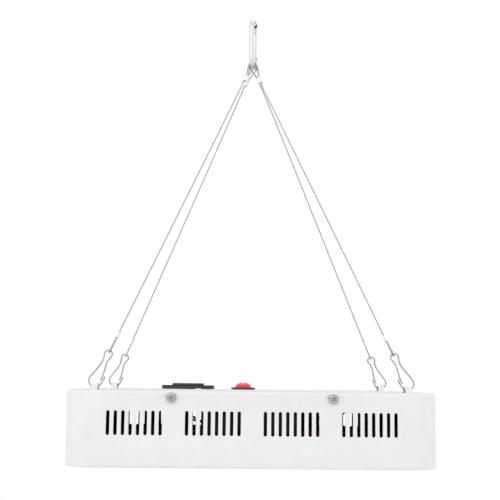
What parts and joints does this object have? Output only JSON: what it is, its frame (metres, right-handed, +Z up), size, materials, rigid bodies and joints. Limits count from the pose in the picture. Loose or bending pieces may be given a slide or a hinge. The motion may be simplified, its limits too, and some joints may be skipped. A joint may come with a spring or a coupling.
{
  "type": "led grow light",
  "caption": "Flat white sheet metal lamp box with slotted walls, hung level from four steel cables that meet at one snap hook; lens plate below, power inlet and rocker switch on top.",
  "frame": {"origin": "the upper inner bend of the snap hook, where it hangs", "axes": "+Z up, +X to the right of the front wall, the front wall faces -Y"},
  "size_m": [0.31, 0.2158, 0.4168],
  "materials": {
    "white_paint": "matte fine texture",
    "bright_screw": "bright",
    "board_white": "satin",
    "clear_lens": "gloss",
    "bare_aluminium": "satin",
    "black_screw": "satin",
    "dark_plastic": "matte",
    "black_plastic": "fine texture",
    "pin_brass": "bright",
    "red_plastic": "gloss",
    "bright_steel": "bright",
    "steel_rope": "satin",
    "ferrule_aluminium": "satin"
  },
  "bodies": {
    "hook": {"carabiner_body": "bright_steel", "carabiner_rivet": "bright_steel"},
    "gate": {"carabiner_gate": "bright_steel"},
    "rocker": {"switch_rocker": "red_plastic"},
    "rotor_left": {"fan_rotor_l": "dark_plastic"},
    "rotor_right": {"fan_rotor_r": "dark_plastic"},
    "arm_fl": {"clip_arm_fl": "bright_steel"},
    "arm_fr": {"clip_arm_fr": "bright_steel"},
    "arm_rl": {"clip_arm_rl": "bright_steel"},
    "arm_rr": {"clip_arm_rr": "bright_steel"},
    "light": {"housing_tray": "white_paint", "top_cover": "white_paint", "led_board": "board_white", "lens_plate": "clear_lens", "inlet_body": "black_plastic", "inlet_pin_l": "pin_brass", "inlet_pin_n": "pin_brass", "inlet_pin_e": "pin_brass", "inlet_screw_l": "black_screw", "inlet_screw_r": "black_screw", "switch_body": "black_plastic", "side_screw_fl": "bright_screw", "cable_fl": "steel_rope", "ferrule_top_fl": "ferrule_aluminium", "ferrule_low_fl": "ferrule_aluminium", "clip_fl": "bright_steel", "side_screw_fr": "bright_screw", "cable_fr": "steel_rope", "ferrule_top_fr": "ferrule_aluminium", "ferrule_low_fr": "ferrule_aluminium", "clip_fr": "bright_steel", "side_screw_rl": "bright_screw", "cable_rl": "steel_rope", "ferrule_top_rl": "ferrule_aluminium", "ferrule_low_rl": "ferrule_aluminium", "clip_rl": "bright_steel", "side_screw_rr": "bright_screw", "cable_rr": "steel_rope", "ferrule_top_rr": "ferrule_aluminium", "ferrule_low_rr": "ferrule_aluminium", "clip_rr": "bright_steel", "heat_sink_l": "bare_aluminium", "fan_frame_l": "dark_plastic", "led_driver_l": "dark_plastic", "fan_screw_l1": "white_paint", "fan_screw_l2": "white_paint", "fan_screw_l3": "white_paint", "fan_screw_l4": "white_paint", "heat_sink_r": "bare_aluminium", "fan_frame_r": "dark_plastic", "led_driver_r": "dark_plastic", "fan_screw_r1": "white_paint", "fan_screw_r2": "white_paint", "fan_screw_r3": "white_paint", "fan_screw_r4": "white_paint"}
  },
  "joints": [
    {"name": "gate_hinge", "type": "hinge", "parent": "hook", "child": "gate", "pos_m": [0.00167, 0.00752, -0.032], "axis": [0.9763, -0.2164, 0], "range_deg": [0, 25], "stiffness_Nm_per_rad": 0.1, "springref_deg": -20.05},
    {"name": "light_swing", "type": "hinge", "parent": "hook", "child": "light", "pos_m": [0, 0, -0.0423], "axis": [0.2164, 0.9763, 0], "range_deg": [-20, 20]},
    {"name": "rocker_tip", "type": "hinge", "parent": "light", "child": "rocker", "pos_m": [-0.0046, 0.08, -0.3502], "axis": [1, 0, 0], "range_deg": [-24, 0]},
    {"name": "fan_spin_left", "type": "hinge", "parent": "light", "child": "rotor_left", "pos_m": [-0.084, 0, -0.359], "axis": [0, 0, 1], "continuous": true},
    {"name": "fan_spin_right", "type": "hinge", "parent": "light", "child": "rotor_right", "pos_m": [0.084, 0, -0.359], "axis": [0, 0, 1], "continuous": true},
    {"name": "clip_flex_fl", "type": "hinge", "parent": "light", "child": "arm_fl", "pos_m": [-0.12421, -0.07356, -0.3282], "axis": [0, 0.9716, -0.2367], "range_deg": [0, 15], "stiffness_Nm_per_rad": 0.05, "springref_deg": -2.86},
    {"name": "clip_flex_fr", "type": "hinge", "parent": "light", "child": "arm_fr", "pos_m": [0.12416, -0.07345, -0.32825], "axis": [0, -0.9696, 0.2448], "range_deg": [0, 15], "stiffness_Nm_per_rad": 0.05, "springref_deg": -2.86},
    {"name": "clip_flex_rl", "type": "hinge", "parent": "light", "child": "arm_rl", "pos_m": [-0.12416, 0.07345, -0.32825], "axis": [0, 0.9696, 0.2448], "range_deg": [0, 15], "stiffness_Nm_per_rad": 0.05, "springref_deg": -2.86},
    {"name": "clip_flex_rr", "type": "hinge", "parent": "light", "child": "arm_rr", "pos_m": [0.12421, 0.07356, -0.3282], "axis": [0, -0.9716, -0.2367], "range_deg": [0, 15], "stiffness_Nm_per_rad": 0.05, "springref_deg": -2.86}
  ]
}
